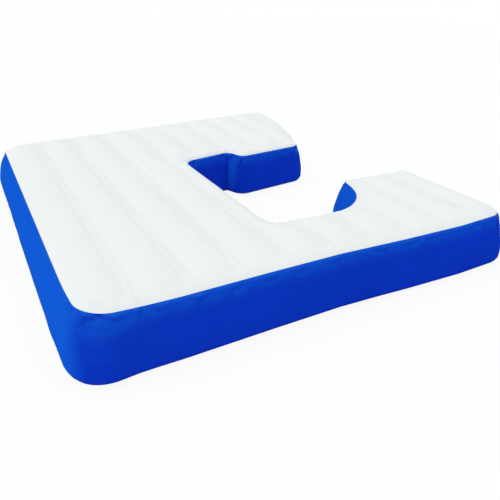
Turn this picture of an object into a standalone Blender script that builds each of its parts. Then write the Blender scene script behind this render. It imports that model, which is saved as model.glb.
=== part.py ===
# Inflatable landing pad: a flat C-shaped air cushion with a notch in its right side.
# White top skin over ten chambers, blue walls all round, and a sheet bottom skin.
# Weld strips hold the skins to upright baffles, which keep the two faces parallel.
# Metres, +Z up, +X along the front edge towards the notch side, +Y towards the back.

import math

import bmesh
import bpy
from mathutils import Matrix, Vector, geometry

# Plan, measured on the seam where the white skin meets the blue wall
FRONT_LENGTH = 2.970
BODY_WIDTH = 1.325
NEAR_ARM_DEPTH = 0.965
POCKET_SIDE_END = 1.940
LEFT_SIDE_DEPTH = 2.910
STEP_DROP = 0.165
FAR_END_BOW = 0.090
HOOK_LEAN = math.radians(12)
STEP_LEAN = math.radians(20)
POCKET_FAR_SLOPE = math.radians(13)
FAR_EDGE_SLOPE = math.radians(9)
BACK_SLOPE = math.radians(8.76)

# Shares of the arms' length beyond the body, then of the near arm's depth
NEAR_TIP_SHARE = 0.404
POCKET_FAR_SHARE = 0.289
FAR_EDGE_SHARE = 0.401
FRONT_RUN_SHARE = 0.5285

# Corner radii of the seam
FRONT_LEFT_RADIUS = 0.160
FRONT_RIGHT_RADIUS = 0.130
NEAR_TIP_RADIUS = 0.075
HOOK_RADIUS = 0.055
POCKET_CORNER_RADIUS = 0.120
STEP_RADIUS = 0.070
FAR_INNER_TIP_RADIUS = 0.085
FAR_END_RADIUS = 3.000
FAR_OUTER_TIP_RADIUS = 0.110
BACK_LEFT_RADIUS = 0.200
SMALLEST_RADIUS = 0.010
POCKET_CURVE_SHARE = 1.10
ARC_ROOM_SHARE = 0.98

# Height and edge section
STRIP_HEIGHT = 0.378
SHOULDER_RADIUS = 0.075
FOOT_RADIUS = 0.060
SEAM_ANGLE = math.radians(45)
LAP_ANGLE = math.radians(64)
WALL_FLARE = math.radians(12)
WALL_LEAN = math.radians(14)
FLAT_BAND_LEAN = math.radians(6)
SKIN = 0.0009
CLEARANCE = 0.0003

# Chambers and their baffles
BODY_STRIPS = 4
ARM_STRIPS = 5
BODY_STRIP_MARGIN = 0.140
ARM_STRIP_MARGIN = 0.160
FAR_END_MARGIN = 0.195
END_CHAMBER_SHARE = 0.95
STRIP_WIDTH = 0.060
CROWN_RISE = 0.022
CROWN_FADE = 0.150
CROWN_LINE_SHARES = (0, 0.4, 1, 1.6)
GROOVE_DEPTH = 0.012
GROOVE_SLOPE = 0.035
GROOVE_INSET = 0.030
GROOVE_FADE = 0.050
BAFFLE_END_INSET = 0.040
SHORTEST_BAFFLE = 0.100

# Tie-down rings: a welded patch, a webbing loop and a steel ring
PATCH_RADIUS = 0.050
PATCH_THICKNESS = 0.0012
RING_WIRE = 0.0060
RING_WIDTH = 0.044
RING_DROP = 0.030
WEBBING_WIDTH = 0.025
WEBBING_THICKNESS = 0.0016
WEBBING_TAB = 0.032
RING_PLAY = 0.0004
RING_CORNER_SHARE = 1.5
BACK_RING_INSET = 0.420
END_RING_HEIGHT_SHARE = 0.74
POCKET_RING_SHARE = 0.50

# Inflation valve
VALVE_POSITION_SHARE = 0.36
VALVE_FLANGE_RADIUS = 0.045
VALVE_FLANGE_THICKNESS = 0.0018
VALVE_NECK_RADIUS = 0.0280
VALVE_NECK_WALL = 0.0045
VALVE_NECK_DEPTH = 0.030
VALVE_RIM_HEIGHT = 0.0030
VALVE_RIM_RADIUS = 0.0305
INSERT_WALL = 0.0027
INSERT_DEPTH = 0.0210
SEAT_THICKNESS = 0.0030
SEAT_RING_WIDTH = 0.0040
HUB_RADIUS = 0.0045
SPOKE_WIDTH = 0.0025
SPOKES = 4
STEM_RADIUS = 0.0020
STEM_PLAY = 0.0001
FLAP_THICKNESS = 0.0015
FLAP_LAP = 0.0025
FLAP_TRAVEL = 0.0030
FLAP_BEAD_RADIUS = 0.0032
FLAP_BEAD_HEIGHT = 0.0020
CAP_OVERHANG = 0.0035
CAP_THICKNESS = 0.0030
CAP_SKIRT_DEPTH = 0.0080
CAP_SKIRT_WALL = 0.0022
CAP_EDGE_ROUND = 0.0010
GRIP_HEIGHT = 0.0070
GRIP_WIDTH = 0.0080
GRIP_LENGTH_SHARE = 0.86
LEASH_THICKNESS = 0.0012
LEASH_BAND = 0.0037
LEASH_WIDTH = 0.0080
LEASH_REACH = 0.0375
LEASH_EYE_RADIUS = 0.0058
POST_FOOT_RADIUS = 0.0034
POST_NECK_RADIUS = 0.0020
POST_HEAD_HEIGHT = 0.0016
JOIN_INSET_SHARE = 0.05
CAP_HOLLOW_SHARE = 0.25
GRIP_FOOT_SHARE = 0.25
GRIP_ROUND_SHARE = 0.25

# Facets
ROUND_FACETS = 32
WIRE_FACETS = 8
RING_ARC_STEPS = 14
MERGE = 0.00001
CUTTER_OVERRUN = 0.010

# Materials: base colour, roughness, metallic
FINISHES = {
    "white_pvc": ((0.83, 0.89, 0.89), 0.45, 0.0),
    "blue_pvc": ((0.004, 0.040, 0.500), 0.38, 0.0),
    "grey_pvc": ((0.30, 0.32, 0.34), 0.55, 0.0),
    "clear_baffle": ((0.72, 0.78, 0.82), 0.50, 0.0),
    "webbing": ((0.015, 0.016, 0.018), 0.85, 0.0),
    "stainless": ((0.62, 0.62, 0.60), 0.22, 1.0),
    "valve_grey": ((0.16, 0.17, 0.18), 0.42, 0.0),
    "valve_rubber": ((0.02, 0.02, 0.02), 0.75, 0.0),
}


def clear_scene():
    for leftover in list(bpy.data.objects):
        bpy.data.objects.remove(leftover, do_unlink=True)


def material(name):
    found = bpy.data.materials.get(name)
    if found:
        return found
    colour, roughness, metallic = FINISHES[name]
    made = bpy.data.materials.new(name)
    made.use_nodes = True
    shader = made.node_tree.nodes["Principled BSDF"]
    shader.inputs["Base Color"].default_value = (*colour, 1.0)
    shader.inputs["Roughness"].default_value = roughness
    shader.inputs["Metallic"].default_value = metallic
    return made


def add_object(name, bm, finish, smooth_angle=30):
    bmesh.ops.recalc_face_normals(bm, faces=bm.faces)
    mesh = bpy.data.meshes.new(name)
    bm.to_mesh(mesh)
    bm.free()
    mesh.shade_smooth()
    mesh.set_sharp_from_angle(angle=math.radians(smooth_angle))
    mesh.materials.append(material(finish))
    made = bpy.data.objects.new(name, mesh)
    bpy.context.scene.collection.objects.link(made)
    made.parent = PAD_FRAME
    return made


def hide_cutter(cutter):
    cutter.hide_render = True
    cutter.display_type = "WIRE"


def combine(target, tool, operation):
    step = target.modifiers.new(tool.name, "BOOLEAN")
    step.operation = operation
    step.solver = "EXACT"
    step.object = tool
    hide_cutter(tool)


# Where the weld strips run, from left to right


def strip_positions():
    """Weld strips over the body, up to its margin, then those of the arms, from their margin on."""
    last = BODY_WIDTH - BODY_STRIP_MARGIN
    first = BODY_WIDTH + ARM_STRIP_MARGIN
    body_pitch = last / (BODY_STRIPS - 1 + END_CHAMBER_SHARE)
    arm_pitch = (FRONT_LENGTH - first) / (ARM_STRIPS - 1 + END_CHAMBER_SHARE)
    body = [last - k * body_pitch for k in reversed(range(BODY_STRIPS))]
    arms = [first + k * arm_pitch for k in range(ARM_STRIPS)]
    return body + arms


STRIPS = strip_positions()


# Plan outline: corner points of the seam, anticlockwise from the front left


def plan_corners():
    arm = FRONT_LENGTH - BODY_WIDTH
    front_run_depth = NEAR_ARM_DEPTH * FRONT_RUN_SHARE
    curve_drop = NEAR_ARM_DEPTH - front_run_depth
    far_run = arm * POCKET_FAR_SHARE
    edge_run = arm * FAR_EDGE_SHARE
    far_end = STRIPS[-1] + FAR_END_MARGIN
    hook = Vector((FRONT_LENGTH - arm * NEAR_TIP_SHARE, NEAR_ARM_DEPTH))
    step_top = Vector((BODY_WIDTH + far_run, POCKET_SIDE_END + far_run * math.tan(POCKET_FAR_SLOPE)))
    step_foot = step_top + Vector((STEP_DROP * math.tan(STEP_LEAN), -STEP_DROP))
    inner_tip = step_foot + Vector((edge_run, edge_run * math.tan(FAR_EDGE_SLOPE)))
    outer_tip = Vector((far_end, LEFT_SIDE_DEPTH + far_end * math.tan(BACK_SLOPE)))
    chord = outer_tip - inner_tip
    bow = Vector((chord.y, -chord.x)).normalized() * FAR_END_BOW
    return {
        "front_left": (Vector((0, 0)), FRONT_LEFT_RADIUS, 6),
        "front_right": (Vector((FRONT_LENGTH, 0)), FRONT_RIGHT_RADIUS, 6),
        "near_tip": (Vector((FRONT_LENGTH, NEAR_ARM_DEPTH)), NEAR_TIP_RADIUS, 4),
        "hook": (hook, HOOK_RADIUS, 4),
        "curve": (
            Vector((hook.x - curve_drop * math.tan(HOOK_LEAN), front_run_depth)),
            curve_drop * POCKET_CURVE_SHARE,
            8,
        ),
        "pocket_near": (Vector((BODY_WIDTH, front_run_depth)), POCKET_CORNER_RADIUS, 4),
        "pocket_far": (Vector((BODY_WIDTH, POCKET_SIDE_END)), POCKET_CORNER_RADIUS, 4),
        "step_top": (step_top, STEP_RADIUS, 4),
        "step_foot": (step_foot, STEP_RADIUS, 4),
        "inner_tip": (inner_tip, FAR_INNER_TIP_RADIUS, 4),
        "end_bow": (inner_tip + chord / 2 + bow, FAR_END_RADIUS, 2),
        "outer_tip": (outer_tip, FAR_OUTER_TIP_RADIUS, 6),
        "back_left": (Vector((0, LEFT_SIDE_DEPTH)), BACK_LEFT_RADIUS, 6),
    }


PLAN = plan_corners()
CORNER_NAMES = list(PLAN)


def turn_between(before, after):
    return math.atan2(before.cross(after), before.dot(after))


def outline(offset):
    """The rounded outline at this distance outside the seam, with the same points at any offset."""
    corners = []
    for i, name in enumerate(CORNER_NAMES):
        point, radius, steps = PLAN[name]
        following = CORNER_NAMES[(i + 1) % len(CORNER_NAMES)]
        before = (point - PLAN[CORNER_NAMES[i - 1]][0]).normalized()
        after = (PLAN[following][0] - point).normalized()
        out_before = Vector((before.y, -before.x))
        out_after = Vector((after.y, -after.x))
        mitre = (out_before + out_after) / (1 + out_before.dot(out_after))
        turn = turn_between(before, after)
        grown = radius + math.copysign(1, turn) * offset
        corners.append([point + mitre * offset, max(grown, SMALLEST_RADIUS), steps, turn])

    count = len(corners)
    reach = [radius * math.tan(abs(turn) / 2) for _, radius, _, turn in corners]
    squeeze = [1.0] * count
    for i in range(count):
        j = (i + 1) % count
        length = (corners[j][0] - corners[i][0]).length
        room = length * ARC_ROOM_SHARE / (reach[i] + reach[j])
        squeeze[i] = min(squeeze[i], room)
        squeeze[j] = min(squeeze[j], room)

    points = []
    middles = {}
    for i, (corner, radius, steps, turn) in enumerate(corners):
        radius *= squeeze[i]
        before = (corner - corners[i - 1][0]).normalized()
        start = corner - before * radius * math.tan(abs(turn) / 2)
        side = math.copysign(1, turn)
        centre = start + Vector((-before.y, before.x)) * side * radius
        spoke = start - centre
        middles[CORNER_NAMES[i]] = len(points) + steps // 2
        for k in range(steps + 1):
            angle = turn * k / steps
            points.append(centre + Matrix.Rotation(angle, 2) @ spoke)
    return points, middles


# Edge section: (distance outside the seam, height) down the edge of the pad

SHOULDER_IN = -SHOULDER_RADIUS * math.cos(SEAM_ANGLE)
SHOULDER_UP = STRIP_HEIGHT - SHOULDER_RADIUS
HEAD_LEAN = WALL_FLARE + WALL_LEAN
FOOT_LEAN = WALL_FLARE - WALL_LEAN


def facing(angle):
    """The direction that faces this far above the horizontal, as (outwards, up)."""
    return Vector((math.cos(angle), math.sin(angle)))


# The wall's curve leaves the shoulder at one lean and meets the foot at the other
WALL_HEAD = Vector((SHOULDER_IN, SHOULDER_UP)) + facing(HEAD_LEAN) * SHOULDER_RADIUS
WALL_FOOT_UP = FOOT_RADIUS + FOOT_RADIUS * math.sin(FOOT_LEAN)
WALL_RADIUS = (WALL_HEAD.y - WALL_FOOT_UP) / (math.sin(HEAD_LEAN) - math.sin(FOOT_LEAN))
WALL_CENTRE = WALL_HEAD - facing(HEAD_LEAN) * WALL_RADIUS
FOOT_IN = WALL_CENTRE.x + (WALL_RADIUS - FOOT_RADIUS) * math.cos(FOOT_LEAN)
BAND_MIDDLE = WALL_CENTRE + facing(WALL_FLARE) * WALL_RADIUS * math.cos(FLAT_BAND_LEAN)


def edge_section():
    shoulder = [math.pi / 2, LAP_ANGLE, SEAM_ANGLE, (SEAM_ANGLE + HEAD_LEAN) / 2]
    foot = [(SEAM_ANGLE - FOOT_LEAN) / 2, SEAM_ANGLE, LAP_ANGLE, math.pi / 2]
    points = [Vector((SHOULDER_IN - SHOULDER_RADIUS, STRIP_HEIGHT))]
    for angle in shoulder:
        out = SHOULDER_IN + SHOULDER_RADIUS * math.cos(angle)
        points.append(Vector((out, SHOULDER_UP + SHOULDER_RADIUS * math.sin(angle))))
    for angle in (HEAD_LEAN, WALL_FLARE + FLAT_BAND_LEAN, WALL_FLARE - FLAT_BAND_LEAN, FOOT_LEAN):
        points.append(WALL_CENTRE + facing(angle) * WALL_RADIUS)
    for angle in foot:
        out = FOOT_IN + FOOT_RADIUS * math.cos(angle)
        points.append(Vector((out, FOOT_RADIUS - FOOT_RADIUS * math.sin(angle))))
    points.append(Vector((FOOT_IN - FOOT_RADIUS, 0)))
    return points


FLAT_TOP, TOP_BEND, TOP_LAP, TOP_SEAM, TOP_BROW, LEAN_TOP, BAND_TOP = range(7)
BAND_FOOT, LEAN_FOOT, FOOT_BROW, FOOT_SEAM, FOOT_LAP, FOOT_BEND, FLAT_FOOT = range(7, 14)


def inset_section(points, depth):
    """The same section, this deep under the outer face."""
    moved = []
    for i, point in enumerate(points):
        before = (point - points[max(i - 1, 0)]) or (points[1] - points[0])
        after = (points[min(i + 1, len(points) - 1)] - point) or before
        in_before = Vector((before.y, -before.x)).normalized()
        in_after = Vector((after.y, -after.x)).normalized()
        mitre = (in_before + in_after) / (1 + in_before.dot(in_after))
        moved.append(point + mitre * depth)
    return moved


SECTION = edge_section()
SECTION_IN = inset_section(SECTION, SKIN)
LAP_OUT = inset_section(SECTION, SKIN + CLEARANCE)
LAP_IN = inset_section(SECTION, 2 * SKIN + CLEARANCE)


def wall_loop():
    """One closed cut through a wall: its margins run under the top and bottom skins."""
    seam_step = (SECTION[TOP_BROW] - SECTION[TOP_SEAM]).normalized() * CLEARANCE
    foot_step = (SECTION[FOOT_BROW] - SECTION[FOOT_SEAM]).normalized() * CLEARANCE
    outer = [LAP_OUT[TOP_LAP], LAP_OUT[TOP_SEAM] + seam_step, SECTION[TOP_SEAM] + seam_step]
    outer += SECTION[TOP_BROW:FOOT_SEAM]
    outer += [SECTION[FOOT_SEAM] + foot_step, LAP_OUT[FOOT_SEAM] + foot_step, LAP_OUT[FOOT_LAP]]
    inner = [LAP_IN[FOOT_LAP], LAP_IN[FOOT_SEAM]]
    inner += reversed(SECTION_IN[TOP_BROW:FOOT_SEAM])
    inner += [LAP_IN[TOP_SEAM], LAP_IN[TOP_LAP]]
    return outer, inner


def build_wall(name, first, last):
    """A wall panel from the middle of one corner to the middle of another."""
    outer, inner = wall_loop()
    rings = [outline(point.x)[0] for point in outer + inner]
    heights = [point.y for point in outer + inner]
    middles = outline(0)[1]
    start, end = middles[first], middles[last]
    count = len(rings[0])
    indices = [(start + k) % count for k in range((end - start) % count + 1)]

    bm = bmesh.new()
    rows = []
    for k, index in enumerate(indices):
        row = []
        for ring, height in zip(rings, heights):
            point = ring[index].copy()
            if k == 0:
                point += (ring[indices[1]] - point).normalized() * CLEARANCE / 2
            elif k == len(indices) - 1:
                point += (ring[indices[-2]] - point).normalized() * CLEARANCE / 2
            row.append(bm.verts.new((point.x, point.y, height)))
        rows.append(row)
    for here, there in zip(rows, rows[1:]):
        for k in range(len(here)):
            j = (k + 1) % len(here)
            bm.faces.new((here[k], here[j], there[j], there[k]))
    for row in (rows[0], rows[-1]):
        outside = row[: len(outer)]
        inside = row[: len(outer) - 1 : -1]
        close_margin(bm, outside, inside)
    return add_object(name, bm, "blue_pvc", smooth_angle=40)


def close_margin(bm, outside, inside):
    """Closes a panel's end with a ladder of faces between its two skins."""
    i = j = 0
    while i < len(outside) - 1 or j < len(inside) - 1:
        level_out = outside[min(i + 1, len(outside) - 1)].co.z
        level_in = inside[min(j + 1, len(inside) - 1)].co.z
        if j == len(inside) - 1 or (i < len(outside) - 1 and level_out >= level_in):
            bm.faces.new((outside[i], outside[i + 1], inside[j]))
            i += 1
        else:
            bm.faces.new((outside[i], inside[j + 1], inside[j]))
            j += 1


# Skins: height fields over the plan, cut along the chambers


def half_chambers(strips):
    """Half the clear width of the chamber right of each strip; the last has its neighbour's."""
    halves = [(b - a - STRIP_WIDTH) / 2 for a, b in zip(strips, strips[1:])]
    return halves + halves[-1:]


HALF_CHAMBERS = half_chambers(STRIPS)


def spans(ring, x):
    """Where the line at this x lies inside the ring, as pairs of y."""
    crossings = []
    for a, b in zip(ring, ring[1:] + ring[:1]):
        if (a.x < x) != (b.x < x):
            crossings.append(a.y + (b.y - a.y) * (x - a.x) / (b.x - a.x))
    crossings.sort()
    return list(zip(crossings[::2], crossings[1::2]))


def encloses(ring, corners):
    x, y = sum(corners, Vector((0, 0))) / len(corners)
    return any(low < y < high for low, high in spans(ring, x))


def distance_to(ring, x, y):
    point = Vector((x, y))
    nearest = math.inf
    for a, b in zip(ring, ring[1:] + ring[:1]):
        edge = b - a
        share = max(0, min(1, (point - a).dot(edge) / edge.length_squared))
        nearest = min(nearest, (point - a - edge * share).length)
    return nearest


def from_strip(x):
    """Distance from the nearest weld strip's edge."""
    nearest = min(STRIPS, key=lambda strip: abs(strip - x))
    return max(0, abs(x - nearest) - STRIP_WIDTH / 2)


def eased(share):
    share = max(0, min(1, share))
    return 1 - (1 - share) ** 2


def top_height(x, y, ring):
    strips_passed = sum(strip < x for strip in STRIPS)
    crown = eased(from_strip(x) / HALF_CHAMBERS[max(0, strips_passed - 1)])
    fade = eased(distance_to(ring, x, y) / CROWN_FADE)
    return STRIP_HEIGHT + CROWN_RISE * crown * fade


def bottom_height(x, y, ring):
    groove = 1 - min(1, from_strip(x) / GROOVE_SLOPE)
    fade = (distance_to(ring, x, y) - GROOVE_INSET) / GROOVE_FADE
    return GROOVE_DEPTH * groove * max(0, min(1, fade))


def build_skin(name, finish, edge, lines, line_inset, full_inset, height, sign):
    """edge lists the section points from the seam inwards, outer face and inner face."""
    coords, edges, places = [], [], []
    bend = outline(edge[-1][0].x)[0]

    def add_ring(ring, known=None):
        first = len(coords)
        for k, point in enumerate(ring):
            coords.append(point)
            places.append(known[k] if known else None)
            edges.append((first + k, first + (k + 1) % len(ring)))

    for outer, inner in edge:
        ring = outline(outer.x)[0]
        ring_in = outline(inner.x)[0]
        known = [((*a, outer.y), (*b, inner.y)) for a, b in zip(ring, ring_in)]
        add_ring(ring, known)
    if line_inset:
        add_ring(outline(edge[-1][0].x - line_inset)[0])
    add_ring(outline(edge[-1][0].x - full_inset)[0])
    start_ring = outline(edge[-1][0].x - line_inset)[0]
    for x in lines:
        for low, high in spans(start_ring, x):
            first = len(coords)
            coords.extend([Vector((x, low)), Vector((x, high))])
            places.extend([None, None])
            edges.append((first, first + 1))

    found = geometry.delaunay_2d_cdt(coords, edges, [], 1, MERGE, True)
    flat, _, triangles, origins = found[:4]
    seam = outline(edge[0][0].x)[0]
    triangles = [three for three in triangles if encloses(seam, [flat[k] for k in three])]
    bm = bmesh.new()
    outside, inside = [], []
    for point, origin in zip(flat, origins):
        known = [places[k] for k in origin if places[k]]
        if known:
            out_place, in_place = known[0]
        else:
            level = height(point.x, point.y, bend)
            out_place = (point.x, point.y, level)
            in_place = (point.x, point.y, level - sign * SKIN)
        outside.append(bm.verts.new(out_place))
        inside.append(bm.verts.new(in_place))
    used = {}
    for triangle in triangles:
        bm.faces.new([outside[k] for k in triangle])
        bm.faces.new([inside[k] for k in reversed(triangle)])
        for a, b in zip(triangle, triangle[1:] + triangle[:1]):
            used[frozenset((a, b))] = used.get(frozenset((a, b)), 0) + 1
    for pair, times in used.items():
        if times == 1:
            a, b = pair
            bm.faces.new((outside[a], outside[b], inside[b], inside[a]))
    loose = [vert for vert in bm.verts if not vert.link_faces]
    bmesh.ops.delete(bm, geom=loose, context="VERTS")
    return add_object(name, bm, finish, smooth_angle=50)


def build_top_skin():
    lines = set()
    for strip, half in zip(STRIPS, HALF_CHAMBERS):
        lines.add(strip - STRIP_WIDTH / 2)
        for share in CROWN_LINE_SHARES:
            lines.add(strip + STRIP_WIDTH / 2 + half * share)
    for share in CROWN_LINE_SHARES[1:3]:
        lines.add(STRIPS[0] - STRIP_WIDTH / 2 - HALF_CHAMBERS[0] * share)
    edge = [(SECTION[k], SECTION_IN[k]) for k in (TOP_SEAM, TOP_LAP, TOP_BEND)]
    build_skin("top_skin", "white_pvc", edge, sorted(lines), 0, CROWN_FADE, top_height, 1)


def build_bottom_skin():
    lines = []
    for strip in STRIPS:
        for side in (-1, 1):
            lines.append(strip + side * STRIP_WIDTH / 2)
            lines.append(strip + side * (STRIP_WIDTH / 2 + GROOVE_SLOPE))
    edge = [(SECTION[k], SECTION_IN[k]) for k in (FOOT_SEAM, FOOT_LAP, FOOT_BEND)]
    full = GROOVE_INSET + GROOVE_FADE
    build_skin("bottom_skin", "grey_pvc", edge, sorted(lines), GROOVE_INSET, full, bottom_height, -1)


def build_baffle(name, x, low, high):
    """An I-section sheet: a web with a weld flange along each skin."""
    top = STRIP_HEIGHT - SKIN - CLEARANCE
    foot = GROOVE_DEPTH + SKIN + CLEARANCE
    flange = STRIP_WIDTH / 2
    web = SKIN / 2
    half = [(flange, foot), (flange, foot + SKIN), (web, foot + SKIN), (web, top - SKIN),
            (flange, top - SKIN), (flange, top)]
    profile = half + [(-out, level) for out, level in reversed(half)]
    bm = bmesh.new()
    ring = [bm.verts.new((x + out, low, level)) for out, level in profile]
    face = bm.faces.new(ring)
    grown = bmesh.ops.extrude_face_region(bm, geom=[face])["geom"]
    moved = [item for item in grown if isinstance(item, bmesh.types.BMVert)]
    bmesh.ops.translate(bm, verts=moved, vec=(0, high - low, 0))
    add_object(name, bm, "clear_baffle")


def strip_runs(ring, x):
    """The stretches of y where the whole width of a strip at this x lies inside the ring."""
    runs = spans(ring, x)
    for side in (-1, 1):
        beside = spans(ring, x + side * STRIP_WIDTH / 2)
        pairs = [(max(a, c), min(b, d)) for a, b in runs for c, d in beside]
        runs = [(low, high) for low, high in pairs if high - low > SHORTEST_BAFFLE]
    return runs


def build_baffles():
    ring = outline(SECTION[TOP_BEND].x - BAFFLE_END_INSET)[0]
    for number, strip in enumerate(STRIPS, start=1):
        runs = strip_runs(ring, strip)
        suffixes = ("_near", "_far") if len(runs) > 1 else ("",)
        for suffix, (low, high) in zip(suffixes, runs):
            build_baffle(f"baffle_{number}{suffix}", strip, low, high)


def build_walls():
    build_wall("front_wall", "front_left", "front_right")
    near_end = build_wall("near_end_wall", "front_right", "near_tip")
    build_wall("near_inner_wall", "near_tip", "hook")
    build_wall("pocket_curve_wall", "hook", "pocket_near")
    build_wall("pocket_side_wall", "pocket_near", "pocket_far")
    build_wall("pocket_far_wall", "pocket_far", "step_foot")
    build_wall("far_inner_wall", "step_foot", "inner_tip")
    build_wall("far_end_wall", "inner_tip", "outer_tip")
    build_wall("back_wall", "outer_tip", "back_left")
    build_wall("left_wall", "back_left", "front_left")
    return near_end


# Places on the flat band at the middle of a wall


def wall_place(first, last, along):
    """A frame on a straight wall: X along it, Y out of it, Z up it, this far from its first corner."""
    start, end = PLAN[first][0], PLAN[last][0]
    run = (end - start).normalized()
    out = Vector((run.y, -run.x))
    foot = start + run * along + out * BAND_MIDDLE.x
    turned = Matrix(((-run.x, out.x, 0), (-run.y, out.y, 0), (0, 0, 1))).to_4x4()
    leaned = Matrix.Rotation(WALL_FLARE, 4, "X")
    return Matrix.Translation((foot.x, foot.y, BAND_MIDDLE.y)) @ turned @ leaned


def wall_length(first, last):
    return (PLAN[last][0] - PLAN[first][0]).length


def place(made, frame, shift=(0, 0, 0)):
    made.matrix_local = frame @ Matrix.Translation(shift)
    return made


def turned_profile(profile, facets=ROUND_FACETS):
    """A solid turned about local Y from (radius, distance along Y) points, closed on the axis or on itself."""
    bm = bmesh.new()
    rings = []
    for radius, along in profile:
        if radius == 0:
            rings.append([bm.verts.new((0, along, 0))] * facets)
            continue
        ring = []
        for k in range(facets):
            angle = 2 * math.pi * k / facets
            ring.append(bm.verts.new((radius * math.cos(angle), along, radius * math.sin(angle))))
        rings.append(ring)
    closed = profile[0][0] != 0
    for i in range(len(rings) if closed else len(rings) - 1):
        here, there = rings[i], rings[(i + 1) % len(rings)]
        for k in range(facets):
            j = (k + 1) % facets
            corners = list(dict.fromkeys((here[k], here[j], there[j], there[k])))
            if len(corners) > 2:
                bm.faces.new(corners)
    return bm


def box_mesh(low, high):
    bm = bmesh.new()
    bmesh.ops.create_cube(bm, size=1)
    size = [b - a for a, b in zip(low, high)]
    middle = [(a + b) / 2 for a, b in zip(low, high)]
    bmesh.ops.scale(bm, vec=size, verts=bm.verts)
    bmesh.ops.translate(bm, vec=middle, verts=bm.verts)
    return bm


# Tie-down rings

WIRE_RADIUS = RING_WIRE / 2
LOOP_INSIDE = WIRE_RADIUS + RING_PLAY
LOOP_OUTSIDE = LOOP_INSIDE + WEBBING_THICKNESS
PATCH_FACE = CLEARANCE + PATCH_THICKNESS
BAR_OUT = PATCH_FACE + CLEARANCE + LOOP_OUTSIDE


def build_patch(name, frame):
    profile = [(0, CLEARANCE), (PATCH_RADIUS, CLEARANCE), (PATCH_RADIUS, PATCH_FACE), (0, PATCH_FACE)]
    place(add_object(name, turned_profile(profile), "blue_pvc"), frame)


def build_strap(name, frame):
    """Webbing folded round the ring's bar, its two ends sewn flat on the patch as one tab."""
    tab_face = 2 * WEBBING_THICKNESS - LOOP_OUTSIDE
    points = [(-LOOP_OUTSIDE, WEBBING_TAB), (-LOOP_OUTSIDE, 0)]
    start_angle = math.pi
    end_angle = math.acos(tab_face / LOOP_OUTSIDE)
    arc_steps = 12
    for k in range(1, arc_steps + 1):
        angle = start_angle + (2 * math.pi + end_angle - start_angle) * k / arc_steps
        points.append((LOOP_OUTSIDE * math.cos(angle), LOOP_OUTSIDE * math.sin(angle)))
    points.append((tab_face, WEBBING_TAB))
    bm = bmesh.new()
    ring = [bm.verts.new((-WEBBING_WIDTH / 2, out, up)) for out, up in points]
    face = bm.faces.new(ring)
    grown = bmesh.ops.extrude_face_region(bm, geom=[face])["geom"]
    moved = [item for item in grown if isinstance(item, bmesh.types.BMVert)]
    bmesh.ops.translate(bm, verts=moved, vec=(WEBBING_WIDTH, 0, 0))
    strap = place(add_object(name, bm, "webbing"), frame, (0, BAR_OUT, 0))
    eye = bmesh.new()
    bmesh.ops.create_cone(
        eye, cap_ends=True, segments=16, radius1=LOOP_INSIDE, radius2=LOOP_INSIDE,
        depth=WEBBING_WIDTH + 2 * CUTTER_OVERRUN,
    )
    bmesh.ops.rotate(eye, verts=eye.verts, matrix=Matrix.Rotation(math.pi / 2, 3, "Y"))
    cutter = place(add_object(name + "_eye", eye, "webbing"), frame, (0, BAR_OUT, 0))
    combine(strap, cutter, "DIFFERENCE")


def ring_path():
    """Centre line of the D: the straight bar on the hinge axis, then the bow below it."""
    half = RING_WIDTH / 2
    corner = RING_WIRE * RING_CORNER_SHARE
    points = []
    corner_steps = 3
    for side in (-1, 1):
        angles = [math.pi / 2 * k / corner_steps for k in range(corner_steps + 1)]
        turn = angles if side < 0 else list(reversed(angles))
        for angle in turn:
            x = side * (half - corner + corner * math.cos(angle))
            z = -corner + corner * math.sin(angle)
            points.append((x, z))
    for k in range(RING_ARC_STEPS + 1):
        angle = math.pi * k / RING_ARC_STEPS
        points.append((half * math.cos(angle), -corner - (RING_DROP - corner) * math.sin(angle)))
    tidy = []
    for point in points:
        if not tidy or math.dist(point, tidy[-1]) > MERGE:
            tidy.append(point)
    if math.dist(tidy[0], tidy[-1]) < MERGE:
        tidy.pop()
    return tidy


def build_ring(name, frame):
    path = ring_path()
    bm = bmesh.new()
    rows = []
    for i, (x, z) in enumerate(path):
        ahead = Vector(path[(i + 1) % len(path)]) - Vector((x, z))
        behind = Vector((x, z)) - Vector(path[i - 1])
        run = (ahead.normalized() + behind.normalized()).normalized()
        row = []
        for k in range(WIRE_FACETS):
            angle = 2 * math.pi * (k + 0.5) / WIRE_FACETS
            side = WIRE_RADIUS * math.cos(angle)
            row.append(bm.verts.new((x - run.y * side, WIRE_RADIUS * math.sin(angle), z + run.x * side)))
        rows.append(row)
    for here, there in zip(rows, rows[1:] + rows[:1]):
        for k in range(WIRE_FACETS):
            j = (k + 1) % WIRE_FACETS
            bm.faces.new((here[k], here[j], there[j], there[k]))
    place(add_object(name, bm, "stainless", smooth_angle=60), frame, (0, BAR_OUT, 0))


def build_tie_rings():
    back = wall_length("outer_tip", "back_left")
    near_end = wall_length("front_right", "near_tip")
    pocket = wall_length("pocket_near", "pocket_far")
    places = {
        "back_right": wall_place("outer_tip", "back_left", BACK_RING_INSET),
        "back_left": wall_place("outer_tip", "back_left", back - BACK_RING_INSET),
        "near_end": wall_place("front_right", "near_tip", near_end * END_RING_HEIGHT_SHARE),
        "pocket": wall_place("pocket_near", "pocket_far", pocket * POCKET_RING_SHARE),
    }
    for where, frame in places.items():
        build_patch("ring_patch_" + where, frame)
        build_strap("ring_strap_" + where, frame)
        build_ring("d_ring_" + where, frame)


# Inflation valve, turned about the wall's outward direction

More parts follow.
